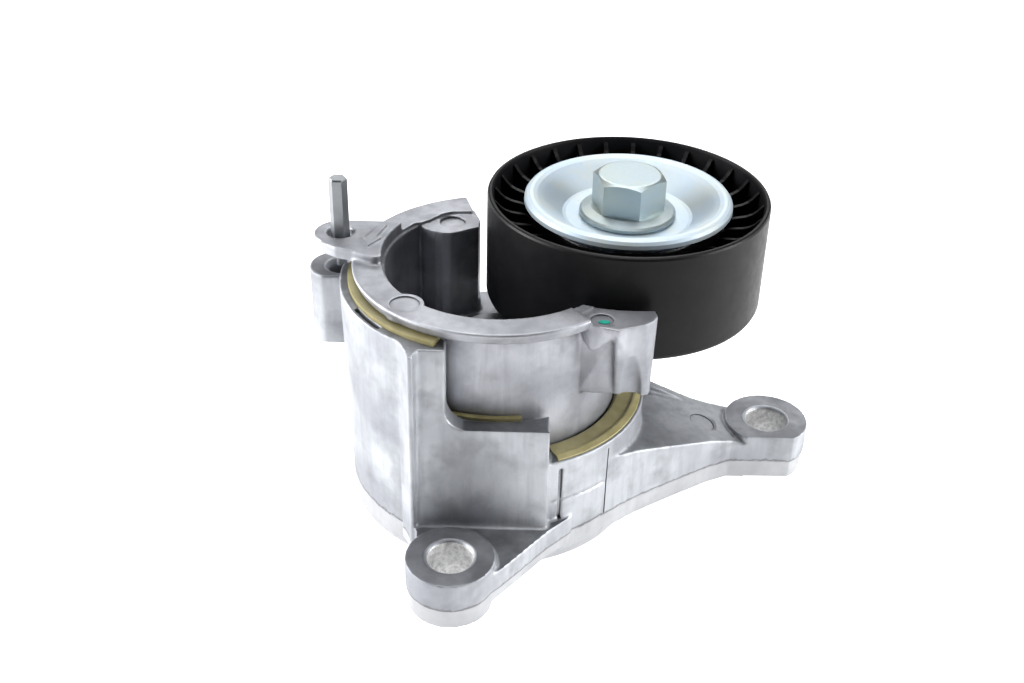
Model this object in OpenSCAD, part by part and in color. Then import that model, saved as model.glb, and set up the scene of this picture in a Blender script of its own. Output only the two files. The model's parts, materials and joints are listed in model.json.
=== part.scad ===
// Belt tensioner with idler pulley: die-cast base, spring-loaded arm, grooveless pulley.
// Millimetres, +Z up.  Origin on the pivot axis, in the plane the two mounting lugs bolt to.

/* [Base] */
// Outer radius of the spring cup at its foot; its wall drafts outwards from here
cup_r = 36.9; // [36.6:0.1:37.4]
// Outer radius of the locating spigot under the cup
spigot_r = 36.5; // [34:0.5:36.5]
// Height of the open rim of the spring cup
cup_h = 28; // [27:0.5:29]
// How far the locating spigot stands below the lug faces
spigot_h = 2; // [1:0.5:4]
// Outer radius of the tall guard wall at its top edge
wall_r = 38.3; // [37.8:0.1:39]
// Height of the tall guard wall
wall_h = 58.8; // [57.5:0.1:59.2]
// Height of the low front wall beside the window
front_wall_h = 37.8; // [34:0.2:40]
// Inner radius of the base where the liner and the bush are pressed in
bore_r = 31.6; // [31.6:0.1:32.2]

/* [Mounting lugs] */
// Diameter of the two lug bores
lug_bore_d = 10.5; // [8.5:0.5:12]
// Thickness of the lug bosses
lug_h = 13; // [11:0.5:15]
// Radius of the front lug boss
front_lug_r = 10.4; // [9.5:0.1:11.5]
// Radius of the side lug boss
side_lug_r = 10.9; // [9.5:0.1:11.5]

/* [Arm] */
// Distance from the pivot axis to the pulley axis
arm_reach = 35.7; // [35:0.1:37]
// Direction of the pulley axis from the pivot with the arm locked, degrees
arm_angle = 27; // [25:1:29]
// Outer radius of the arm drum
drum_r = 30; // [29:0.1:30]
// Wall thickness of the arm drum
drum_t = 2.6; // [2.2:0.1:3.2]
// Height of the drum floor above the lug faces
floor_z = 37; // [36:0.5:38]
// Outer radius of the C-shaped flange
flange_r = 35.3; // [34.5:0.1:35.6]
// Inner radius of the C-shaped flange
flange_in_r = 28; // [27.6:0.1:28.4]
// Height of the top of the C-shaped flange
flange_z = 63.1; // [63:0.1:64]

/* [Pulley] */
// Outside diameter of the pulley
pulley_d = 70; // [66:0.5:71]
// Width of the belt face
pulley_w = 27.4; // [26:0.2:28.4]
// Height of the front edge of the pulley
pulley_top = 74; // [73.6:0.1:75]
// Number of stiffening ribs on each side
rib_count = 28; // [20:1:36]
// Thickness of a stiffening rib
rib_t = 1.1; // [0.9:0.1:1.6]

/* [Bearing] */
// Outside radius of the ball bearing
bearing_r = 20; // [20:0.5:20.5]
// Width of the ball bearing
bearing_w = 12; // [12:0.5:12.5]
// Radius of the ball pitch circle
ball_pitch_r = 14.25; // [14.1:0.05:14.4]
// Diameter of a bearing ball
ball_d = 6.75; // [6:0.05:6.8]
// Number of bearing balls
ball_count = 8; // [6:1:8]

/* [Pulley bolt] */
// Width across flats of the bolt head
bolt_af = 16; // [15:0.5:17]
// Diameter of the bolt flange
bolt_flange_d = 24; // [22:0.5:26]
// Thread diameter of the bolt
bolt_d = 10; // [8:0.5:10]

/* [Spring and pin] */
// Diameter of the torsion spring wire
wire_d = 4.6; // [3.5:0.1:4.8]
// Number of spring turns
spring_turns = 5; // [3:0.5:5]
// Width across flats of the locking pin
pin_af = 4; // [3:0.1:4.4]
// Length of the locking pin
pin_l = 20.7; // [18:0.1:30]

/* [Hidden] */
cup_base_z = 1.5;
bush_seat_z = 14;
chamber_r = 31;
part_z = 5.3;
part_step = 0.55;
wall_from = 112;
wall_to = 244;
front_tilt = 2.75;
front_y = -35;
front_x0 = -17.4;
front_x1 = 13;
window_x = -11;
window_fillet = 5;
front_lug = [-9.2, -50.5];
side_lug = [71.8, 7.2];
side_slope = 17.6;
shaft_r = 8;
hub_r = 12;
hub_z0 = 17.3;
hub_z1 = 38;
bush_t = 1.5;
run_gap = 0.05;
gap = 0.3;
pocket_r = 37.2;
pad_z = flange_z - 1.2;
flange_t = 2.9;
tab_z = flange_z + 2.2;
ear_foot = floor_z + 3.2;
tab_t = 3;
tab_hole = [-39, 8.2];
boss_r = 13;
seat_z = pulley_top - 18.8;
cover_z = seat_z + bearing_w;
pivot_to_pulley = [arm_reach * cos(arm_angle), arm_reach * sin(arm_angle)];
pulley_bottom = pulley_top - pulley_w;
pin_boss = [-40, 8.5];
pin_boss_z = 56;
liner_r0 = drum_r + gap;
eps = 0.01;
$fn = 96;

cast_base = "#c6cacd";
cast_arm = "#cfd3d8";
nylon = "#b3a567";
steel = "#a9adb1";
zinc = "#ccd3d8";
black = "#1b1c1e";

// ---- helpers ----

// A pie slice from angle a0 to angle a1, as a polygon
module slice(a0, a1, r) {
    steps = 12;
    polygon(concat([[0, 0]],
        [for (i = [0 : steps]) let (a = a0 + (a1 - a0) * i / steps) r * [cos(a), sin(a)]]));
}

module ring(r0, r1, h) {
    difference() {
        cylinder(r = r1, h = h);
        translate([0, 0, -1]) cylinder(r = r0, h = h + 2);
    }
}

// A bore with a small countersink at its top end
module bore(r, z0, z1, c) {
    translate([0, 0, z0]) cylinder(r = r, h = z1 - z0 + 1);
    translate([0, 0, z1 - c]) cylinder(r1 = r, r2 = r + c + 1, h = c + 1);
}

module at_pulley() {
    translate([pivot_to_pulley[0], pivot_to_pulley[1], 0]) children();
}

module prism(z0, z1) {
    translate([0, 0, z0]) linear_extrude(height = z1 - z0) children();
}

// ---- base housing ----

module front_lug_2d(inset = 0) {
    polygon([[-18.6 + inset, -36], [-17.4 + inset, -43], [-19 + inset, -47.5],
             [-9.2, -52], [-2, -57.2 + inset], [3.2 - inset, -51.6 + inset],
             [13.5 - inset, -38.6 + inset], [19.4 - inset, -32.4], [14, -28], [-12, -28]]);
}

module side_lug_2d(inset = 0) {
    polygon([[27.4, -25.4 + inset], [35.7, -18.3 + inset], [45.3, -11.8 + inset],
             [56.2, -4.7 + inset], [61.6, -2.1 + inset], [70, -1.9 + inset],
             [72, 10], [64, 14.4 - inset], [57, 13.6 - inset], [44, 12.9 - inset],
             [34.5, 13.5 - inset], [28, 0]]);
}

module side_boss_2d(inset = 0) {
    difference() {
        translate(side_lug) circle(r = side_lug_r - inset);
        translate([side_lug[0] - 20, -21.8 + inset]) square([40, 20]);
    }
}

module side_lug_block() {
    difference() {
        prism(part_z, 24) side_lug_2d();
        translate([59.4, -40, 12.6]) rotate([0, side_slope, 0])
            translate([-60, 0, 0]) cube([80, 80, 30]);
    }
    prism(0, part_z) side_lug_2d(part_step);
    prism(part_z, lug_h) side_boss_2d();
    prism(0, part_z) side_boss_2d(part_step);
    // sloping rib along the back edge of the lug
    translate([0, 13.2, 0]) rotate([90, 0, 0]) linear_extrude(height = 2.6)
        polygon([[33, 6], [58, 6], [58, 12.4], [38, 21.6], [33, 23.6]]);
}

module front_lug_block() {
    prism(part_z, 10.8) front_lug_2d();
    prism(2, part_z) front_lug_2d(part_step);
    translate([front_lug[0], front_lug[1], part_z]) cylinder(r = front_lug_r, h = lug_h - part_z);
    translate([front_lug[0], front_lug[1], 0]) cylinder(r = front_lug_r - part_step, h = part_z);
}

// The flat front wall with its window, drawn upright and laid back by the draft angle
module front_wall() {
    translate([0, front_y, wall_h]) rotate([-front_tilt, 0, 0]) rotate([-90, 0, 0])
        linear_extrude(height = 14) difference() {
            translate([front_x0, 0]) square([front_x1 - front_x0, wall_h - 6]);
            translate([window_x + window_fillet, -1])
                square([40, wall_h - front_wall_h + 1]);
            translate([window_x, -1]) square([20, wall_h - front_wall_h - window_fillet + 1]);
            translate([window_x + window_fillet, wall_h - front_wall_h - window_fillet])
                circle(r = window_fillet);
        }
}

module wall_rib_2d() {
    polygon([[-21.9, -31.4], [-20.7, -33.4], [-19.8, -35.6], [-19.1, -38.2], [-18.1, -38.4],
             [-17.5, -36.2], [-16.4, -34.2], [-14, -30], [-20, -26]]);
}

module pin_boss_block() {
    prism(36.5, pin_boss_z) difference() {
        union() {
            translate(pin_boss) circle(r = 7.1);
            translate([-39, 1.6]) square([6, 13.4]);
        }
        translate([-50, -8]) square([20, 10.2]);
    }
    translate([-44, 8.4, 36.5]) sphere(r = 3);
}

module base_outside() {
    translate([0, 0, -spigot_h]) cylinder(r = spigot_r, h = spigot_h + 1);
    difference() {
        cylinder(r1 = cup_r, r2 = wall_r, h = wall_h);
        prism(cup_h, wall_h + 1) slice(wall_to - 360, wall_from, 80);
        // the cup is trimmed flush with the outside of the front wall
        translate([0, front_y, wall_h]) rotate([-front_tilt, 0, 0])
            translate([front_x0, -20, 7 - wall_h]) cube([front_x1 - front_x0 - 0.4, 20.3, wall_h]);
    }
    prism(2, wall_h) wall_rib_2d();
    front_wall();
    front_lug_block();
    side_lug_block();
    pin_boss_block();
}

module base_cuts() {
    translate([0, 0, bush_seat_z]) cylinder(r = bore_r, h = 60);
    translate([0, 0, cup_base_z]) cylinder(r = chamber_r, h = 60);
    for (p = [front_lug, side_lug]) {
        translate([p[0], p[1], 0]) bore(lug_bore_d / 2, -1, lug_h, 0.7);
        translate([p[0], p[1], -1]) cylinder(r1 = lug_bore_d / 2 + 1.5, r2 = lug_bore_d / 2, h = 1.5);
    }
    translate([tab_hole[0], tab_hole[1], 0]) bore(3.2, 40, pin_boss_z, 1.1);
    translate([tab_hole[0], tab_hole[1], pin_boss_z - eps]) cylinder(r = 4.3, h = 4);
    // key slot in the rim of the guard wall
    prism(wall_h - 1.6, wall_h + 1) difference() {
        intersection() {
            circle(r = 37.5);
            slice(208.5, 225, 60);
        }
        circle(r = 36.4);
    }
    // ejector mark on the side lug
    translate([54.3, 3.2, 14.2]) rotate([0, side_slope, 0]) translate([0, 0, -0.4])
        cylinder(r = 3.5, h = 6);
    // mould witness grooves on the cup
    rotate([0, 0, -64.5]) translate([cup_r - 0.3, -0.5, 10.8]) cube([2, 1, cup_h - 12.8]);
    rotate([0, 0, -42.5]) translate([cup_r, -0.2, 6]) cube([2, 0.4, cup_h - 8]);
    prism(15.9, 16.7) difference() {
        slice(-68, -43, 60);
        circle(r = cup_r - 0.2);
    }
    // shaft seat and drain hole in the cup base
    translate([0, -24, -spigot_h - 1]) cylinder(r = 2.5, h = 8);
    translate([0, 0, -spigot_h - 1]) cylinder(r = 10.5, h = 2.2);
}

module base_housing() color(cast_base) difference() {
    union() {
        difference() {
            base_outside();
            base_cuts();
        }
        translate([0, 0, cup_base_z - 1]) cylinder(r = hub_r, h = hub_z0 - 1.5 - cup_base_z + 1);
        // spring stop inside the cup
        rotate([0, 0, 200]) translate([18.5, -2, cup_base_z - 0.5]) cube([12.8, 2, 5]);
        // end stop for the arm, behind the pulley
        rotate([0, 0, 79]) translate([32, -2.6, cup_h - 8]) cube([4.6, 5.2, 17]);
    }
    translate([0, 0, -spigot_h - 1]) cylinder(r = shaft_r, h = 40);
}

// ---- nylon liners ----

module damping_liner() color(nylon) {
    difference() {
        union() {
            prism(cup_h + 1, wall_h) intersection() {
                circle(r = bore_r);
                slice(wall_from + 1.5, 243.5, 60);
            }
            prism(cup_h + 1, front_wall_h + 0.4) intersection() {
                circle(r = bore_r);
                slice(243, 282, 60);
            }
            prism(wall_h, wall_h + 1.1) intersection() {
                circle(r = 36.3);
                slice(wall_from + 1.5, 248, 60);
            }
        }
        translate([0, 0, cup_h]) cylinder(r = liner_r0, h = 60);
        translate([tab_hole[0], tab_hole[1], 40]) cylinder(r = 4.4, h = 40);
    }
}

module flanged_friction_bush() color(nylon) {
    translate([0, 0, bush_seat_z]) ring(liner_r0, bore_r, cup_h - bush_seat_z - 0.2);
    // the flange shows over the open side of the cup only
    intersection() {
        rotate_extrude() polygon([[liner_r0, cup_h - 1], [bore_r, cup_h - 1],
            [bore_r, cup_h], [36.9, cup_h], [36.9, cup_h + 0.5], [35.7, cup_h + 0.9],
            [35.2, cup_h + 0.9], [34.9, cup_h + 0.55], [31.1, cup_h + 0.55],
            [liner_r0, cup_h - 0.2]]);
        prism(cup_h - 2, cup_h + 2) slice(-65.5, 73, 60);
    }
}

// ---- pivot ----

module pivot_shaft() color(steel) {
    rotate_extrude() polygon([[0, -1.6], [6.5, -1.6], [8.6, -1.2], [8.6, -0.8], [shaft_r, -0.8],
        [shaft_r, hub_z1 + 1.5], [5, hub_z1 + 1.5], [5, hub_z1 + 3.3],
        [5.8, hub_z1 + 3.3], [5.4, hub_z1 + 4.4], [3.6, hub_z1 + 5], [0, hub_z1 + 5.1]]);
}

module shaft_retaining_plate() color(steel) {
    translate([0, 0, hub_z1 + 1.5]) difference() {
        ring(5, 11, 1.8);
        for (a = [0 : 60 : 300]) rotate([0, 0, a]) translate([8.4, 0, -1]) cylinder(r = 0.9, h = 4);
    }
}

module lower_thrust_washer() color(nylon) {
    translate([0, 0, hub_z0 - 1.5]) ring(shaft_r + run_gap, hub_r, 1.2);
}

module upper_thrust_washer() color(nylon) {
    translate([0, 0, hub_z1]) ring(shaft_r + gap, 11.4, 1.2);
}

module lower_pivot_bush() color("#8c7a55") {
    translate([0, 0, hub_z0 + 0.1]) ring(shaft_r + run_gap, shaft_r + bush_t, 9.4);
}

module upper_pivot_bush() color("#8c7a55") {
    translate([0, 0, hub_z1 - 9.5]) ring(shaft_r + run_gap, shaft_r + bush_t, 9.4);
}

// ---- torsion spring, a closed sweep round a helix with a straight leg at each end ----

spring_r = 23.8;
spring_z0 = cup_base_z + wire_d / 2 + 0.3;
spring_z1 = floor_z - 4 - wire_d / 2 - 0.4;
wire_sides = 14;
spring_steps = spring_turns * 30;

function spring_point(i) =
    let (t = i / spring_steps, a = 205 + 360 * spring_turns * t)
    [spring_r * cos(a), spring_r * sin(a), spring_z0 + (spring_z1 - spring_z0) * t];

module torsion_spring() color("#4a4d52") {
    points = [for (i = [0 : spring_steps]) let (p = spring_point(i),
                  a = 205 + 360 * spring_turns * i / spring_steps)
              for (k = [0 : wire_sides - 1]) let (b = 360 * k / wire_sides)
              p + wire_d / 2 * [cos(b) * cos(a), cos(b) * sin(a), sin(b)]];
    sides = [for (i = [0 : spring_steps - 1]) for (k = [0 : wire_sides - 1])
             let (n = (k + 1) % wire_sides, o = i * wire_sides)
             [o + k, o + n, o + wire_sides + n, o + wire_sides + k]];
    caps = [[for (k = [wire_sides - 1 : -1 : 0]) k],
            [for (k = [0 : wire_sides - 1]) spring_steps * wire_sides + k]];
    polyhedron(points = points, faces = concat(sides, caps), convexity = 8);
}

// ---- arm ----

module c_slice() slice(105, 308, 60);

module flange_2d() {
    intersection() {
        circle(r = flange_r);
        c_slice();
    }
}

// Thick rear end of the drum wall, beside the pulley
module rear_block_2d() {
    polygon([[-20.5, 19.5], [-19.6, 17.9], [-17.9, 16.7], [-16.2, 15.6], [-14.4, 14.9],
             [-12.3, 14.8], [-10.1, 15.8], [-7.6, 17.4], [-5.4, 18.6], [-4.6, 19.6],
             [-4.7, 21], [-5.3, 23.6], [-6.6, 27.6], [-8.5, 28.7], [-13, 27], [-20, 22]]);
}

// Guard ear at the front end of the drum wall: a cap that drops towards the flange end, and a
// blade that leans back to a thin foot
module ear() {
    difference() {
        union() {
            hull() {
                prism(pad_z - 1.2, pad_z)
                    polygon([[18.2, -22.6], [20.3, -26.3], [21.4, -27.2], [24, -28.9],
                             [27.1, -29.8], [30.8, -28], [33, -20], [20, -18]]);
                prism(54.8, 57) polygon([[20, -22], [21.3, -26.6], [22.3, -27.2], [24, -22]]);
            }
            hull() {
                prism(pad_z - 1.6, pad_z)
                    polygon([[26.6, -22], [26.8, -29.6], [27.4, -30], [30.8, -28.2],
                             [34.1, -26.9], [35.7, -25.3], [36.8, -23.3], [36.4, -20.8],
                             [30, -15], [26.6, -17]]);
                prism(ear_foot, ear_foot + 0.5)
                    polygon([[27.8, -20], [27.8, -22.8], [28.3, -23.2], [33.9, -23.5],
                             [36, -23.3], [36.5, -22.2], [36.2, -20.5], [30, -15], [27.8, -17]]);
            }
            // web from the drum to the blade
            hull() {
                prism(pad_z - 4, pad_z - 3.5)
                    polygon([[19.6, -22.7], [27.2, -25.4], [28, -22], [21, -19]]);
                prism(ear_foot, ear_foot + 0.5)
                    polygon([[19.6, -22.7], [28, -23], [28.5, -21], [21, -19]]);
            }
        }
        at_pulley() translate([0, 0, floor_z - 2]) cylinder(r = pocket_r, h = 60);
        translate([31.8, -25, ear_foot - 1]) rotate([20.7, 0, 0]) cylinder(r = 3.2, h = 14);
    }
}

module drum_wall_2d() {
    difference() {
        circle(r = drum_r);
        difference() {
            circle(r = drum_r - drum_t);
            translate([-20.8, -22.1]) circle(r = 4.5);
            rear_block_2d();
        }
    }
}

module tab_2d() {
    difference() {
        union() {
            translate(tab_hole) circle(r = 6.4);
            polygon([[-39.2, 14.6], [-27.5, 14.6], [-24, 14], [-27.2, 6], [-27.9, 0],
                     [-27.9, -3.6], [-28.6, -4.3], [-29.6, -4.5], [-32, -3.5],
                     [-35.2, -1.7], [-39.3, -0.1], [-43, 2.4], [-44, 8]]);
        }
        circle(r = flange_in_r);
    }
}

module arrow_2d() {
    polygon([[-29.9, 11.2], [-27.9, 11.5], [-29.9, 5], [-28.6, 4.6], [-31.4, 0.3],
             [-33.3, 4.4], [-32.1, 5]]);
}

module arm_upper() {
    // drum wall, cut away round the pulley
    difference() {
        union() {
            prism(floor_z - 1, flange_z - 1) drum_wall_2d();
            prism(floor_z - 1, pad_z) intersection() {
                rear_block_2d();
                circle(r = drum_r);
            }
        }
        prism(floor_z, flange_z + 1) difference() {
            slice(-36, 106, 80);
            rear_block_2d();
        }
        at_pulley() translate([0, 0, ear_foot + 0.5]) cylinder(r = pocket_r, h = 60);
    }
    ear();
    // C-shaped flange with a slightly undercut edge
    difference() {
        intersection() {
            rotate_extrude() polygon([[drum_r - 1.5, flange_z - flange_t],
                [flange_r - 1, flange_z - flange_t], [flange_r - 0.3, flange_z - 1.2],
                [flange_r, flange_z - 0.5], [flange_r - 0.4, flange_z],
                [drum_r - 1.5, flange_z]]);
            prism(50, 70) c_slice();
        }
        at_pulley() translate([0, 0, 40]) cylinder(r = pocket_r, h = 60);
    }
    difference() {
        prism(flange_z - flange_t, flange_z) intersection() {
            difference() {
                union() {
                    circle(r = drum_r);
                    translate([-20.8, -22.1]) circle(r = 4.5);
                }
                difference() {
                    circle(r = flange_in_r);
                    translate([-20.8, -22.1]) circle(r = 4.5);
                    polygon([[-20, 18.4], [-17.8, 20.2], [-15.6, 22.8], [-13.8, 25.1],
                             [-7.4, 25.4], [-7, 34], [-30, 34], [-30, 18]]);
                }
            }
            c_slice();
        }
        at_pulley() translate([0, 0, 40]) cylinder(r = pocket_r, h = 60);
    }
    prism(tab_z - tab_t, tab_z) tab_2d();
    prism(tab_z - 0.3, tab_z + 0.45) arrow_2d();
}

module arm_lower() {
    difference() {
        translate([0, 0, 16]) cylinder(r = drum_r, h = floor_z - 16);
        translate([0, 0, 10]) cylinder(r = drum_r - 2.6, h = floor_z - 14);
    }
    translate([0, 0, hub_z0]) cylinder(r = hub_r, h = hub_z1 - hub_z0);
    // lever under the pulley
    rotate([0, 0, arm_angle]) prism(33.8, floor_z - 0.8)
        polygon([[10, -24], [26, -17.5], [arm_reach, -boss_r], [arm_reach, boss_r],
                 [26, 17.5], [10, 24]]);
    rotate([0, 0, arm_angle]) prism(34.6, 41.5)
        polygon([[20, -14.4], [arm_reach, -boss_r + 0.6], [arm_reach, boss_r - 0.6], [20, 14.4]]);
    at_pulley() translate([0, 0, 33.3]) cylinder(r = boss_r, h = seat_z - 1 - 33.3);
    // spring stop under the floor
    rotate([0, 0, 190]) translate([11, 0, floor_z - 9.5]) cube([9.5, 2, 6]);
}

module arm_cuts() {
    translate([0, 0, 5]) cylinder(r = shaft_r + bush_t, h = 40);
    at_pulley() translate([0, 0, 30]) cylinder(r = bolt_d / 2, h = 40);
    translate([tab_hole[0], tab_hole[1], tab_z - 10]) cylinder(r = 3.15, h = 20);
    translate([tab_hole[0], tab_hole[1], tab_z - 0.5]) cylinder(r1 = 3.15, r2 = 4.2, h = 1);
    translate([-20.8, -22.1, flange_z - 0.4]) cylinder(r = 3.5, h = 2);
    translate([-12, 21.2, pad_z - 0.4]) cylinder(r = 3.3, h = 2);
    translate([24, -25.4, pad_z - 0.35]) cylinder(r = 2.7, h = 2);
}

module tensioner_arm() color(cast_arm) difference() {
    union() {
        arm_upper();
        arm_lower();
    }
    arm_cuts();
}

module paint_mark() color("#2f8f7c") {
    translate([24.5, -25.9, pad_z - 0.35]) scale([1.35, 0.75, 1]) cylinder(r = 1, h = 0.12);
}

module locking_pin() color(steel) {
    translate([tab_hole[0], tab_hole[1], wall_h + gap]) {
        cylinder(r1 = pin_af * 0.4, r2 = pin_af / sqrt(3), h = 0.8, $fn = 6);
        translate([0, 0, 0.8]) cylinder(r = pin_af / sqrt(3), h = pin_l - 1.2, $fn = 6);
        translate([0, 0, pin_l - 0.4]) cylinder(r1 = pin_af / sqrt(3), r2 = pin_af * 0.5,
                                                h = 0.4, $fn = 6);
        // turned-down tip, clear of the outside of the guard wall
        translate([0, 0, pin_boss_z - wall_h]) cylinder(r = 1.25, h = wall_h - pin_boss_z + 0.3);
    }
}

// ---- bearing, drawn round its own axis ----

mid_z = cover_z - bearing_w / 2;
race_clear = 0.05;
race_r = ball_d / 2 + 0.15;

module race_groove(r) {
    rotate_extrude() translate([r, mid_z]) circle(r = race_r);
}

module bearing_inner_ring() color(steel) at_pulley() difference() {
    translate([0, 0, seat_z]) ring(8.5, 11.6, bearing_w);
    race_groove(ball_pitch_r + race_r - ball_d / 2 - race_clear);
}

module bearing_outer_ring() color(steel) at_pulley() difference() {
    translate([0, 0, seat_z]) ring(16.7, bearing_r, bearing_w);
    race_groove(ball_pitch_r - race_r + ball_d / 2 + race_clear);
    for (z = [seat_z + 0.5, cover_z - 1.4]) translate([0, 0, z]) cylinder(r = 17.4, h = 0.9);
}

module bearing_balls() color("#d5d8da") at_pulley() {
    for (i = [0 : ball_count - 1]) rotate([0, 0, 360 * i / ball_count])
        translate([ball_pitch_r, 0, mid_z]) sphere(d = ball_d);
}

module bearing_cage() color("#9a8f6a") at_pulley() difference() {
    translate([0, 0, mid_z - 1.7]) ring(ball_pitch_r - 1.5, ball_pitch_r + 1.3, 6);
    for (i = [0 : ball_count - 1]) rotate([0, 0, 360 * i / ball_count])
        translate([ball_pitch_r, 0, mid_z]) sphere(d = ball_d + 0.1);
}

module lower_bearing_seal() color(black) at_pulley()
    translate([0, 0, seat_z + 0.5]) ring(11.6 + run_gap, 17.4, 0.9);

module upper_bearing_seal() color(black) at_pulley()
    translate([0, 0, cover_z - 1.4]) ring(11.6 + run_gap, 17.4, 0.9);

module bearing_spacer() color(steel) at_pulley()
    translate([0, 0, seat_z]) ring(bolt_d / 2 + 0.1, 8.5, bearing_w);

// ---- pulley ----

pulley_r = pulley_d / 2;
web_top = pulley_top - 11.5;
web_bottom = pulley_bottom + 11.5;
hub_out_r = 24.2;

module pulley_body() {
    rotate_extrude() polygon([[bearing_r, seat_z], [hub_out_r, seat_z],
        [hub_out_r, web_bottom], [pulley_r - 2.4, web_bottom],
        [pulley_r - 2, pulley_bottom + 0.6], [pulley_r - 1.5, pulley_bottom],
        [pulley_r - 1, pulley_bottom], [pulley_r - 0.3, pulley_bottom + 0.3],
        [pulley_r, pulley_bottom + 1], [pulley_r, pulley_top - 0.7],
        [pulley_r - 0.25, pulley_top - 0.2], [pulley_r - 0.6, pulley_top],
        [pulley_r - 1.1, pulley_top], [pulley_r - 1.45, pulley_top - 0.45],
        [pulley_r - 2.3, web_top], [hub_out_r, web_top],
        [hub_out_r, cover_z - 0.2], [bearing_r, cover_z - 0.2]]);
}

// Region the ribs fill: a sagging edge on the front side and a plain one behind
module rib_space() {
    rotate_extrude() polygon([[hub_out_r - 0.5, web_bottom - 8.4], [pulley_r - 1.7, web_bottom - 9.4],
        [pulley_r - 1.7, pulley_top - 1.2], [pulley_r - 2.4, pulley_top - 1.9],
        [pulley_r - 3.2, pulley_top - 2.9], [pulley_r - 4.3, pulley_top - 3.8],
        [pulley_r - 5.8, pulley_top - 4.5], [pulley_r - 7.6, pulley_top - 4.9],
        [pulley_r - 9.4, pulley_top - 5.3], [hub_out_r - 0.5, pulley_top - 6.8]]);
}

module pulley_wheel() color(black) at_pulley() {
    pulley_body();
    intersection() {
        rib_space();
        for (i = [0 : rib_count - 1]) rotate([0, 0, 360 * i / rib_count + 6.9])
            translate([hub_out_r - 1, -rib_t / 2, pulley_bottom]) cube([12, rib_t, pulley_w]);
    }
}

// ---- covers and bolt ----

module front_dust_cover() color(zinc) at_pulley() {
    rotate_extrude() polygon([[bolt_d / 2 + 0.1, cover_z], [15.8, cover_z],
        [16.6, cover_z + 0.2], [21.8, cover_z + 4.1], [22.8, cover_z + 4.9],
        [23.8, cover_z + 5.3], [24.5, cover_z + 5.2], [24.9, cover_z + 4.7],
        [25, cover_z + 4.2], [25.85, cover_z + 4.2], [25.75, cover_z + 5.2],
        [25.2, cover_z + 5.9], [24.4, cover_z + 6.2], [23.6, cover_z + 6.2],
        [22.6, cover_z + 5.8], [21.4, cover_z + 5], [16.2, cover_z + 1.05],
        [15.4, cover_z + 0.8], [bolt_d / 2 + 0.1, cover_z + 0.8]]);
}

module rear_dust_cover() color(zinc) at_pulley() {
    rotate_extrude() polygon([[bolt_d / 2 + 0.1, seat_z - 1], [18.6, seat_z - 1],
        [19.4, seat_z - 1.3], [19.4, seat_z - 0.7], [18.7, seat_z - 0.4],
        [11.6, seat_z - 0.4], [11.2, seat_z], [bolt_d / 2 + 0.1, seat_z]]);
}

bolt_seat = cover_z + 0.8;

module pulley_bolt() color(zinc) at_pulley() {
    rotate_extrude() polygon([[0, 35.4], [bolt_d / 2 - 1, 35.4], [bolt_d / 2, 36.4],
        [bolt_d / 2, bolt_seat], [bolt_flange_d / 2 - 0.4, bolt_seat],
        [bolt_flange_d / 2, bolt_seat + 0.5], [bolt_flange_d / 2, bolt_seat + 1.2],
        [bolt_flange_d / 2 - 0.5, bolt_seat + 1.6], [9.2, bolt_seat + 2.4], [0, bolt_seat + 2.4]]);
    intersection() {
        translate([0, 0, bolt_seat + 1]) rotate([0, 0, -16])
            cylinder(r = bolt_af / sqrt(3), h = 10, $fn = 6);
        rotate_extrude() polygon([[0, bolt_seat], [10, bolt_seat], [10, bolt_seat + 9.6],
            [bolt_af / 2 - 0.3, bolt_seat + 10.9], [bolt_af / 2 - 0.7, bolt_seat + 11],
            [0, bolt_seat + 11]]);
    }
}

base_housing();
damping_liner();
flanged_friction_bush();
pivot_shaft();
shaft_retaining_plate();
lower_thrust_washer();
upper_thrust_washer();
lower_pivot_bush();
upper_pivot_bush();
torsion_spring();
tensioner_arm();
paint_mark();
locking_pin();
rear_dust_cover();
bearing_spacer();
bearing_inner_ring();
bearing_balls();
bearing_cage();
bearing_outer_ring();
lower_bearing_seal();
upper_bearing_seal();
pulley_wheel();
front_dust_cover();
pulley_bolt();
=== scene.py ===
"""Belt tensioner with a smooth idler pulley: looks, floor, light and camera over the CAD frame."""
import json
import math

import bmesh
import bpy
import numpy as np
from mathutils import Matrix, Vector


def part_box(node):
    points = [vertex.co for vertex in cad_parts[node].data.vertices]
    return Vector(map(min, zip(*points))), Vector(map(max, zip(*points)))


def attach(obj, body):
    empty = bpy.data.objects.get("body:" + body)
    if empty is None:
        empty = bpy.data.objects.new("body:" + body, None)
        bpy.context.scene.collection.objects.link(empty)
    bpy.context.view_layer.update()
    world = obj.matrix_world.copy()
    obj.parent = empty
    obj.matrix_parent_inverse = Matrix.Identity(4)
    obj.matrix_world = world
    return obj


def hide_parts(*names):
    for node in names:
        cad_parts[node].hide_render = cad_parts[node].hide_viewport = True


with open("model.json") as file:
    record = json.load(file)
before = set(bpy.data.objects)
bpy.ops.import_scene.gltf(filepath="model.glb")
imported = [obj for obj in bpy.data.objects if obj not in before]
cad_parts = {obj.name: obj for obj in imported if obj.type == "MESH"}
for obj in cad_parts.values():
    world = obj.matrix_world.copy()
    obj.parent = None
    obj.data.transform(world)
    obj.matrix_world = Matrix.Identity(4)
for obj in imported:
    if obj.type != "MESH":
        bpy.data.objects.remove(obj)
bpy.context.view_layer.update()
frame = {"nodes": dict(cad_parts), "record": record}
nodes = frame["nodes"]
MM = 0.001

# ---------------------------------------------------------------- camera

CAM_AT = Vector((3.81, -278.17, 213.82)) * MM
CAM_PITCH = math.radians(32.05)
CAM_ROLL = math.radians(1.358)
LENS = 46.0

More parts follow.
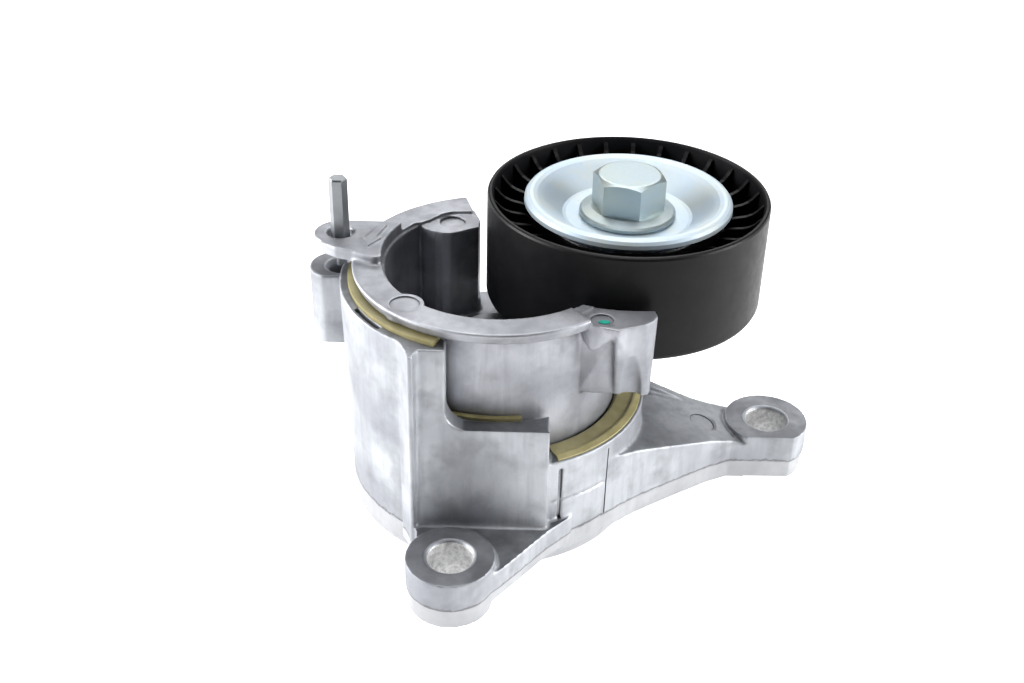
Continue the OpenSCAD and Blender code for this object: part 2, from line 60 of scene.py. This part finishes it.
forward = Vector((0, math.cos(CAM_PITCH), -math.sin(CAM_PITCH)))
level_up = Vector((0, math.sin(CAM_PITCH), math.cos(CAM_PITCH)))
right = Vector((1, 0, 0)) * math.cos(CAM_ROLL) + level_up * math.sin(CAM_ROLL)
up = level_up * math.cos(CAM_ROLL) - Vector((1, 0, 0)) * math.sin(CAM_ROLL)
camera = bpy.data.objects.new("camera", bpy.data.cameras.new("camera"))
camera.data.lens = LENS
camera.data.sensor_width = 36
camera.data.clip_start = 0.01
turn = Matrix((right, up, -forward)).transposed()
camera.matrix_world = Matrix.Translation(CAM_AT) @ turn.to_4x4()
bpy.context.scene.collection.objects.link(camera)
bpy.context.scene.camera = camera

# ---------------------------------------------------------------- materials


class Look:
    """A Principled material with short calls for the nodes that feed it."""

    def __init__(self, name, metallic=0.0, roughness=0.5):
        self.mat = bpy.data.materials.new(name)
        self.mat.use_nodes = True
        self.tree = self.mat.node_tree
        self.bsdf = self.tree.nodes["Principled BSDF"]
        self.bsdf.inputs["Metallic"].default_value = metallic
        self.bsdf.inputs["Roughness"].default_value = roughness
        self.place = self.tree.nodes.new("ShaderNodeTexCoord").outputs["Object"]
        self.normal = None

    def node(self, kind, **values):
        """A new shader node, with the values set on its inputs or its settings."""
        made = self.tree.nodes.new(kind)
        for key, value in values.items():
            if key in made.inputs:
                made.inputs[key].default_value = value
            else:
                setattr(made, key, value)
        return made

    def link(self, a, b):
        self.tree.links.new(a, b)

    def noise(self, size_mm, detail=3.0, rough=0.55, stretch=(1, 1, 1), distortion=0.0):
        """Noise from 0 to 1 whose largest lumps are about size_mm across."""
        at = self.place
        if stretch != (1, 1, 1):
            mapping = self.node("ShaderNodeMapping")
            mapping.inputs["Scale"].default_value = stretch
            self.link(at, mapping.inputs["Vector"])
            at = mapping.outputs["Vector"]
        tex = self.node("ShaderNodeTexNoise", Scale=1 / (size_mm * MM), Detail=detail,
                        Roughness=rough, Distortion=distortion)
        self.link(at, tex.inputs["Vector"])
        return tex.outputs["Fac"]

    def cells(self, size_mm):
        """Distance to the nearest of scattered points about size_mm apart."""
        tex = self.node("ShaderNodeTexVoronoi", Scale=1 / (size_mm * MM))
        self.link(self.place, tex.inputs["Vector"])
        return tex.outputs["Distance"]

    def ramp(self, fac, stops):
        """Colour or value by stops of (position, value or colour)."""
        made = self.node("ShaderNodeValToRGB")
        elements = made.color_ramp.elements
        for i, (at, colour) in enumerate(stops):
            e = elements[i] if i < 2 else elements.new(at)
            e.position = at
            if not isinstance(colour, tuple):
                colour = (colour,) * 3
            e.color = (*colour, 1)
        self.link(fac, made.inputs["Fac"])
        return made.outputs["Color"]

    def mix(self, fac, a, b):
        """Colour a turned towards colour b by fac."""
        made = self.node("ShaderNodeMix", data_type="RGBA")
        self.link(fac, made.inputs[0])
        for key, value in ((6, a), (7, b)):
            if isinstance(value, tuple):
                made.inputs[key].default_value = (*value, 1)
            else:
                self.link(value, made.inputs[key])
        return made.outputs[2]

    def math(self, op, a, b=0.0, c=0.0):
        """One math node; b is a number or another node's output."""
        made = self.node("ShaderNodeMath", operation=op)
        self.link(a, made.inputs[0])
        if isinstance(b, float):
            made.inputs[1].default_value = b
        else:
            self.link(b, made.inputs[1])
        made.inputs[2].default_value = c
        return made.outputs[0]

    def band(self, value, lo, hi, top=1.0):
        """0 where value is lo, rising to top where it is hi."""
        made = self.node("ShaderNodeMapRange")
        for key, number in (("From Min", lo), ("From Max", hi), ("To Min", 0.0), ("To Max", top)):
            made.inputs[key].default_value = number
        self.link(value, made.inputs["Value"])
        return made.outputs[0]

    def axis(self, vector, letter):
        """One of a vector's three numbers."""
        split = self.node("ShaderNodeSeparateXYZ")
        self.link(vector, split.inputs[0])
        return split.outputs[letter]

    def up_facing(self):
        """1 where the surface faces straight up, 0.5 where it is upright."""
        upright = self.axis(self.node("ShaderNodeNewGeometry").outputs["Normal"], "Z")
        return self.math("MULTIPLY_ADD", upright, 0.5, 0.5)

    def openness(self, reach_mm, alone=True):
        """1 on open surfaces, less in corners and recesses, of this piece alone or of all."""
        made = self.node("ShaderNodeAmbientOcclusion", samples=4, only_local=alone,
                         Distance=reach_mm * MM)
        return made.outputs["AO"]

    def colour(self, socket):
        self.link(socket, self.bsdf.inputs["Base Color"])

    def roughness(self, socket):
        self.link(socket, self.bsdf.inputs["Roughness"])

    def bump(self, height, depth_mm):
        """Adds a relief of that depth to the ones already there."""
        made = self.node("ShaderNodeBump", Strength=1.0, Distance=depth_mm * MM)
        self.link(height, made.inputs["Height"])
        if self.normal:
            self.link(self.normal, made.inputs["Normal"])
        self.normal = made.outputs["Normal"]
        self.link(self.normal, self.bsdf.inputs["Normal"])


def scaled(colour, factor):
    return tuple(c * factor for c in colour)


SPECK = (0.12, 0.12, 0.13)  # small dark pits and handling marks
PALE_SKIN = (0.62, 0.62, 0.63)  # a paler colour below a parting line
FLASH = (0.16, 0.15, 0.15)  # the trimmed edge along a parting line


def cast_aluminium(name, light, dark, ledge_shade_and_dust, parting_mm=None):
    """Die-cast skin: cloudy tone, fine grain, flow marks, up-facing ledges darkened as painted
    shade that partly stands in for dust, and painted shade in corners.
    """
    look = Look(name, metallic=0.85)
    clouds = look.noise(26, 2, 0.5)
    patches = look.noise(9, 3, 0.55)
    grain = look.noise(0.5, 3, 0.6)
    flow = look.noise(2.2, 3, 0.6, stretch=(1, 1, 0.1), distortion=0.2)
    skin = look.ramp(clouds, [(0.38, dark), (0.6, light)])
    skin = look.mix(look.ramp(patches, [(0.48, 0.0), (0.68, 0.45)]), skin, scaled(dark, 0.6))
    skin = look.mix(look.ramp(flow, [(0.45, 0.0), (0.7, 0.3)]), skin, scaled(dark, 0.8))
    # painted shade, partly standing in for dust: near-level up-facing faces are darkened by their
    # normal alone
    ledges = look.ramp(look.up_facing(), [(0.98, 0.0), (0.995, ledge_shade_and_dust)])
    uneven = look.ramp(patches, [(0.3, 0.6), (0.6, 1.0)])
    skin = look.mix(look.math("MULTIPLY", ledges, uneven), skin, scaled(dark, 0.42))
    # painted shade: the piece's own ambient occlusion darkens its corners, recesses and creases,
    # at a wide and a narrow reach
    skin = look.mix(look.ramp(look.openness(5), [(0.25, 0.75), (0.8, 0.0)]), skin,
                    scaled(dark, 0.3))
    skin = look.mix(look.ramp(look.openness(0.6), [(0.55, 0.85), (0.9, 0.0)]), skin,
                    scaled(dark, 0.22))
    pits = look.ramp(look.cells(1.3), [(0.04, 1.0), (0.1, 0.0)])
    here = look.ramp(patches, [(0.55, 0.0), (0.62, 0.8)])
    skin = look.mix(look.math("MULTIPLY", pits, here), skin, SPECK)
    if parting_mm:
        # below the parting line the skin is paler; the line itself is a ragged trimmed flash
        above = look.math("SUBTRACT", look.axis(look.place, "Z"), parting_mm * MM)
        wander = look.ramp(look.noise(1.6, 4, 0.7), [(0.3, 0.0), (0.7, 1.0)])
        beside = look.math("SUBTRACT", above, look.math("MULTIPLY", wander, 0.9 * MM))
        below = look.band(above, 0.15 * MM, -0.25 * MM)
        line = look.band(look.math("ABSOLUTE", beside), 0.35 * MM, 0.1 * MM)
        skin = look.mix(look.math("MULTIPLY", below, 0.5), skin, PALE_SKIN)
        skin = look.mix(look.math("MULTIPLY", line, 0.55), skin, FLASH)
        look.bump(line, -0.25)
    look.colour(skin)
    look.roughness(look.ramp(look.noise(2.4, 4, 0.7), [(0.25, 0.46), (0.75, 0.64)]))
    look.bump(grain, 0.04)
    look.bump(patches, 0.12)
    look.bump(clouds, 0.25)
    return look.mat


def machined(name, colour, rough):
    """Turned or drawn metal, with fine lines and a slightly uneven tone."""
    look = Look(name, metallic=1.0)
    lines = look.noise(0.3, 2, 0.6, stretch=(1, 1, 0.05))
    clouds = look.noise(6, 4, 0.6)
    worn = look.ramp(clouds, [(0.35, 0.0), (0.7, 0.6)])
    look.colour(look.mix(worn, colour, scaled(colour, 0.8)))
    look.roughness(look.ramp(clouds, [(0.3, rough[0]), (0.7, rough[1])]))
    look.bump(lines, 0.015)
    return look.mat


def zinc_plate(name, colour, rough, metallic=0.95):
    """Satin zinc with faint blue and yellow passivation clouds and a few handling marks."""
    look = Look(name, metallic=metallic)
    clouds = look.noise(9, 3, 0.5, distortion=0.6)
    warm = tuple(c * k for c, k in zip(colour, (1.0, 0.99, 0.93)))
    cool = tuple(c * k for c, k in zip(colour, (0.93, 0.98, 1.02)))
    tone = look.ramp(clouds, [(0.38, cool), (0.62, warm)])
    marks = look.ramp(look.cells(2.6), [(0.03, 1.0), (0.07, 0.0)])
    here = look.ramp(look.noise(7, 2), [(0.56, 0.0), (0.6, 0.7)])
    look.colour(look.mix(look.math("MULTIPLY", marks, here), tone, SPECK))
    look.roughness(look.ramp(look.noise(1.2, 4, 0.6), [(0.3, rough[0]), (0.7, rough[1])]))
    look.bump(look.noise(0.25, 2, 0.6), 0.006)
    look.bump(look.noise(3, 3, 0.5), 0.03)
    return look.mat


def moulded(name, light, dark, rough=(0.38, 0.5), size=4.0, grain=0.3, depth=0.012, level=0.5,
            corner_mm=None):
    """Moulded plastic or rubber: soft colour clouds, fine grain, uneven gloss, and, where
    corner_mm is given, painted shade in corners and under overhanging parts that partly stands in
    for dust.
    """
    look = Look(name)
    look.bsdf.inputs["Specular IOR Level"].default_value = level
    clouds = look.noise(size, 4, 0.6, distortion=0.3)
    skin = look.ramp(clouds, [(0.3, dark), (0.7, light)])
    if corner_mm:
        # painted shade, partly dust: ambient occlusion of all parts darkens corners and surfaces
        # under overhangs, such as the ring under the flange
        skin = look.mix(look.ramp(look.openness(corner_mm, False), [(0.35, 0.75), (0.95, 0.0)]),
                        skin, scaled(dark, 0.3))
    look.colour(skin)
    look.roughness(look.ramp(look.noise(size * 0.5, 3), [(0.3, rough[0]), (0.7, rough[1])]))
    look.bump(look.noise(grain, 2, 0.6), depth)
    look.bump(clouds, depth * 3)
    return look.mat


LOOKS = {
    "cast_base": cast_aluminium("cast_aluminium_base", (0.52, 0.54, 0.57), (0.33, 0.34, 0.37), 0.9,
                                parting_mm=5.3),
    "cast_arm": cast_aluminium("cast_aluminium_arm", (0.53, 0.54, 0.58), (0.33, 0.34, 0.37), 0.4),
    "nylon": moulded("khaki_nylon", (0.54, 0.48, 0.24), (0.40, 0.35, 0.16), (0.42, 0.52),
                     corner_mm=5),
    "bush_liner": moulded("pivot_bush_polymer", (0.36, 0.28, 0.17), (0.28, 0.21, 0.12)),
    "steel": machined("drawn_steel", (0.30, 0.315, 0.33), (0.38, 0.5)),
    "spring_steel": machined("spring_steel", (0.16, 0.165, 0.18), (0.3, 0.45)),
    "bearing_steel": machined("bearing_steel", (0.72, 0.73, 0.75), (0.12, 0.2)),
    "cage_nylon": moulded("cage_polyamide", (0.50, 0.43, 0.28), (0.42, 0.36, 0.22)),
    "zinc": zinc_plate("zinc_plate", (0.56, 0.63, 0.69), (0.5, 0.62), 0.55),
    "pulley_black": moulded("black_polyamide", (0.008, 0.008, 0.009), (0.005, 0.005, 0.006),
                            (0.36, 0.46), 6.0, 0.22, 0.008, level=0.16),
    "seal_rubber": moulded("seal_rubber", (0.03, 0.03, 0.032), (0.018, 0.018, 0.02), (0.5, 0.6)),
    "paint": moulded("green_paint", (0.03, 0.42, 0.32), (0.02, 0.30, 0.23), (0.3, 0.4), 0.8),
}
slot_of = {s["node"]: s["material_slot"] for s in frame["record"]["subparts"]}


def paint(obj, material):
    obj.data.materials.clear()
    obj.data.materials.append(material)


for name, obj in nodes.items():
    paint(obj, LOOKS[slot_of[name]])
# the bolt gets a darker copy of the zinc: its greener tint is passivation, its lower brightness is
# painted shade standing in for the dark surroundings its faces reflect
paint(nodes["pulley_bolt"], zinc_plate("bolt_zinc", (0.40, 0.45, 0.46), (0.34, 0.46)))

# ---------------------------------------------------------------- castings

body_of = {n: b for b, group in frame["record"]["behaviour"]["bodies"].items() for n in group}


def closed_copy(node):
    """A welded copy of a CAD node's mesh."""
    mesh = nodes[node].data.copy()
    bm = bmesh.new()
    bm.from_mesh(mesh)
    bmesh.ops.remove_doubles(bm, verts=bm.verts, dist=1e-7)
    bm.to_mesh(mesh)
    bm.free()
    return mesh


def bake(obj):
    """Applies obj's modifiers."""
    graph = bpy.context.evaluated_depsgraph_get()
    mesh = bpy.data.meshes.new_from_object(obj.evaluated_get(graph))
    obj.modifiers.clear()
    obj.data = mesh


def neighbours(mesh):
    """The two vertices of every edge."""
    edges = np.empty(len(mesh.edges) * 2, np.int32)
    mesh.edges.foreach_get("vertices", edges)
    return edges.reshape(-1, 2)


def spread(values, edges, count):
    """Each vertex's mean of values over its neighbours."""
    a, b = edges.T
    if values.ndim == 1:
        total = np.bincount(a, values[b], count) + np.bincount(b, values[a], count)
    else:
        total = np.stack([np.bincount(a, v[b], count) + np.bincount(b, v[a], count)
                          for v in values.T], axis=1)
    degree = np.bincount(a, minlength=count) + np.bincount(b, minlength=count)
    return total / (degree if values.ndim == 1 else degree[:, None])


def widened(mask, edges, rings):
    """mask grown by that many rings of vertices."""
    a, b = edges.T
    for _ in range(rings):
        grown = mask.copy()
        np.maximum.at(grown, a, mask[b])
        np.maximum.at(grown, b, mask[a])
        mask = grown
    return mask


def prism(outline_mm, z0_mm, z1_mm):
    """A closed upright prism over an outline, for a mark in a casting."""
    bm = bmesh.new()
    face = bm.faces.new([bm.verts.new((x * MM, y * MM, z0_mm * MM)) for x, y in outline_mm])
    lifted = bmesh.ops.extrude_face_region(bm, geom=[face])["geom"]
    bmesh.ops.translate(bm, vec=(0, 0, (z1_mm - z0_mm) * MM),
                        verts=[v for v in lifted if isinstance(v, bmesh.types.BMVert)])
    bmesh.ops.recalc_face_normals(bm, faces=bm.faces)
    mesh = bpy.data.meshes.new("mark")
    bm.to_mesh(mesh)
    bm.free()
    obj = bpy.data.objects.new("mark", mesh)
    bpy.context.scene.collection.objects.link(obj)
    return obj


DISC_SIDES = 64
CLEAR_ABOVE = 2  # mm a cutter stands above the surface


def disc(at_mm, radius_mm, depth_mm, tilt=0.0):
    """A round cutter that goes depth_mm into the surface at at_mm."""
    turns = [math.tau * i / DISC_SIDES for i in range(DISC_SIDES)]
    obj = prism([(radius_mm * math.cos(a), radius_mm * math.sin(a)) for a in turns],
                -depth_mm, CLEAR_ABOVE)
    obj.matrix_world = Matrix.Translation(Vector(at_mm) * MM) @ Matrix.Rotation(tilt, 4, "Y")
    return obj


FLAT = 0.12  # how far smoothing moves a vertex, in voxels, before it counts as a corner
CORNER = 0.2  # and how much further for a full corner
SOFTEN_PASSES = 2
FILLET_PASSES = 12
CREASE_DEG = 40


def casting(node, voxel_mm, cutters=(), raised=()):
    """A CAD casting with rounded edges, wider fillets in its inside corners, and crisp marks."""
    obj = bpy.data.objects.new(node + "_casting", closed_copy(node))
    bpy.context.scene.collection.objects.link(obj)
    remesh = obj.modifiers.new("remesh", "REMESH")
    remesh.mode = "VOXEL"
    remesh.voxel_size = voxel_mm * MM
    bake(obj)
    mesh = obj.data
    count = len(mesh.vertices)
    edges = neighbours(mesh)
    at = np.empty(count * 3, np.float32)
    mesh.vertices.foreach_get("co", at)
    at = at.reshape(-1, 3).astype(np.float64)
    normal = np.empty(count * 3, np.float32)
    mesh.vertex_normals.foreach_get("vector", normal)
    normal = normal.reshape(-1, 3)
    smooth = at.copy()
    for _ in range(3):
        smooth = spread(smooth, edges, count)
    # inside corners are where smoothing pushes the surface outwards
    hollow = ((smooth - at) * normal).sum(1) / (voxel_mm * MM)
    weight = widened(np.clip((hollow - FLAT) / CORNER, 0, 1), edges, 3)
    # small steps and marks have an outside edge close by, and keep their shape
    near_edge = widened(np.clip((-hollow - FLAT) / CORNER, 0, 1), edges, 4)
    weight = spread(weight * (1 - near_edge), edges, count)
    inside = np.clip(weight * 1.6, 0, 1)[:, None]
    for share in [1.0] * SOFTEN_PASSES + [inside] * FILLET_PASSES:
        at += (spread(at, edges, count) - at) * 0.5 * share
    mesh.vertices.foreach_set("co", at.astype(np.float32).ravel())
    marks = [(cutter, "DIFFERENCE") for cutter in cutters] + [(pad, "UNION") for pad in raised]
    for shape, operation in marks:
        mark = obj.modifiers.new("mark", "BOOLEAN")
        mark.operation = operation
        mark.solver = "MANIFOLD"
        mark.object = shape
    bake(obj)
    for shape, _ in marks:
        bpy.data.objects.remove(shape)
    obj.data.shade_smooth()
    obj.data.set_sharp_from_angle(angle=math.radians(CREASE_DEG))
    paint(obj, LOOKS[slot_of[node]])
    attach(obj, body_of[node])
    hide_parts(node)
    return obj


# sizes in mm, from the CAD
TAB_TOP = 65.3
FLANGE_TOP = 63.1
PAD_TOP = 61.9
MARK_DEPTH = 0.45
ARROW_RISE = 0.44
ARROW_ROOT = 0.5
ARROW = ((-29.9, 11.2), (-27.9, 11.5), (-29.9, 5), (-28.6, 4.6), (-31.4, 0.3), (-33.3, 4.4),
         (-32.1, 5))

SIDE_LUG_SLOPE = math.radians(17.6)
LUG_BORES = ((-9.2, -50.5), (71.8, 7.2))
LUG_BORE_R = 5.25
BORE_SKIN = 0.12  # how far outside the bore's radius a face still counts as bored
CUP_R = 36.9


def groove(turn_deg, start_mm, width_mm, z0_mm, z1_mm):
    """An upright slot cut into the cup's wall at that heading."""
    half = width_mm / 2
    obj = prism([(start_mm, -half), (start_mm + 3, -half), (start_mm + 3, half),
                 (start_mm, half)], z0_mm, z1_mm)
    obj.matrix_world = Matrix.Rotation(math.radians(turn_deg), 4, "Z")
    return obj


base = casting("base_housing", 0.36, [
    disc((54.3, 3.2, 14.22), 3.4, 0.4, SIDE_LUG_SLOPE),
    groove(-64.5, CUP_R - 0.2, 0.9, 10.9, 25.8),
    groove(-42.5, CUP_R, 0.35, 6, 26),
])
casting("tensioner_arm", 0.3, [
    disc((-20.8, -22.1, FLANGE_TOP), 3.5, MARK_DEPTH),
    disc((-12, 21.2, PAD_TOP), 3.3, MARK_DEPTH),
    disc((24, -25.4, PAD_TOP), 2.7, MARK_DEPTH),
], raised=[prism(ARROW, TAB_TOP - ARROW_ROOT, TAB_TOP + ARROW_RISE)])

# the drilled lug bores keep a bright, coarse surface
drilled = Look("drilled_bore", metallic=0.6)
drilled.colour(drilled.ramp(drilled.noise(1.2, 4, 0.75), [(0.3, 0.42), (0.6, 0.8)]))
drilled.roughness(drilled.ramp(drilled.noise(1.5), [(0.3, 0.35), (0.7, 0.6)]))
drilled.bump(drilled.noise(0.7, 4, 0.7), 0.12)
base.data.materials.append(drilled.mat)
centre = np.empty(len(base.data.polygons) * 3, np.float32)
base.data.polygons.foreach_get("center", centre)
centre = centre.reshape(-1, 3) / MM
in_bore = np.zeros(len(centre), bool)
for x, y in LUG_BORES:
    in_bore |= np.hypot(centre[:, 0] - x, centre[:, 1] - y) < LUG_BORE_R + BORE_SKIN
base.data.polygons.foreach_set("material_index", in_bore.astype(np.int32))

# ---------------------------------------------------------------- floor, light

FLOOR_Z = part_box("base_housing")[0][2]
FLOOR_SIDE = 40
FLOOR_GLOW = 0.7  # the table is a light table, so its shadows stay faint
GLOW_ENDS = (-0.25, -0.07)  # it fades between these y, which leaves the part's front faces darker
bpy.ops.mesh.primitive_plane_add(size=FLOOR_SIDE, location=(0, 0, FLOOR_Z))
floor = bpy.context.object
floor.name = "floor"
ground = Look("floor_white", roughness=0.6)
ground.colour(ground.ramp(ground.noise(300, 2), [(0.3, 0.83), (0.7, 0.85)]))
ground.bsdf.inputs["Emission Color"].default_value = (1, 1, 1, 1)
glow = ground.band(ground.axis(ground.place, "Y"), *GLOW_ENDS, FLOOR_GLOW)
ground.link(glow, ground.bsdf.inputs["Emission Strength"])
paint(floor, ground.mat)


AIM = Vector((0.01, 0.0, 0.03))


def soft_box(name, at, size, watts):
    """A rectangular lamp at at, turned to face the part."""
    lamp = bpy.data.lights.new(name, "AREA")
    lamp.shape = "RECTANGLE"
    lamp.size, lamp.size_y = size
    lamp.energy = watts
    obj = bpy.data.objects.new(name, lamp)
    obj.location = at
    obj.rotation_euler = (AIM - Vector(at)).to_track_quat("-Z", "Y").to_euler()
    bpy.context.scene.collection.objects.link(obj)


soft_box("left_box", (-0.85, 0.0, 0.3), (0.5, 0.5), 12.5)
soft_box("right_box", (0.85, -0.15, 0.3), (0.4, 0.5), 8)
soft_box("back_box", (0.1, 0.9, 0.8), (0.9, 0.5), 5)
soft_box("top_box", (0.0, 0.25, 1.4), (1.0, 1.0), 12.5)

SKY_GLOW = 0.2  # behind the part; it fades to nothing in front
world = bpy.data.worlds.new("studio")
bpy.context.scene.world = world
world.use_nodes = True
sky = world.node_tree
facing = sky.nodes.new("ShaderNodeTexCoord")
split = sky.nodes.new("ShaderNodeSeparateXYZ")
fade = sky.nodes.new("ShaderNodeMapRange")
for key, value in (("From Min", -0.6), ("From Max", 0.7), ("To Min", 0.0), ("To Max", SKY_GLOW)):
    fade.inputs[key].default_value = value
sky.links.new(facing.outputs["Generated"], split.inputs["Vector"])
sky.links.new(split.outputs["Y"], fade.inputs["Value"])
sky.links.new(fade.outputs["Result"], sky.nodes["Background"].inputs["Strength"])
sky.nodes["Background"].inputs["Color"].default_value = (1, 1, 1, 1)
bpy.context.scene.view_settings.view_transform = "Standard"
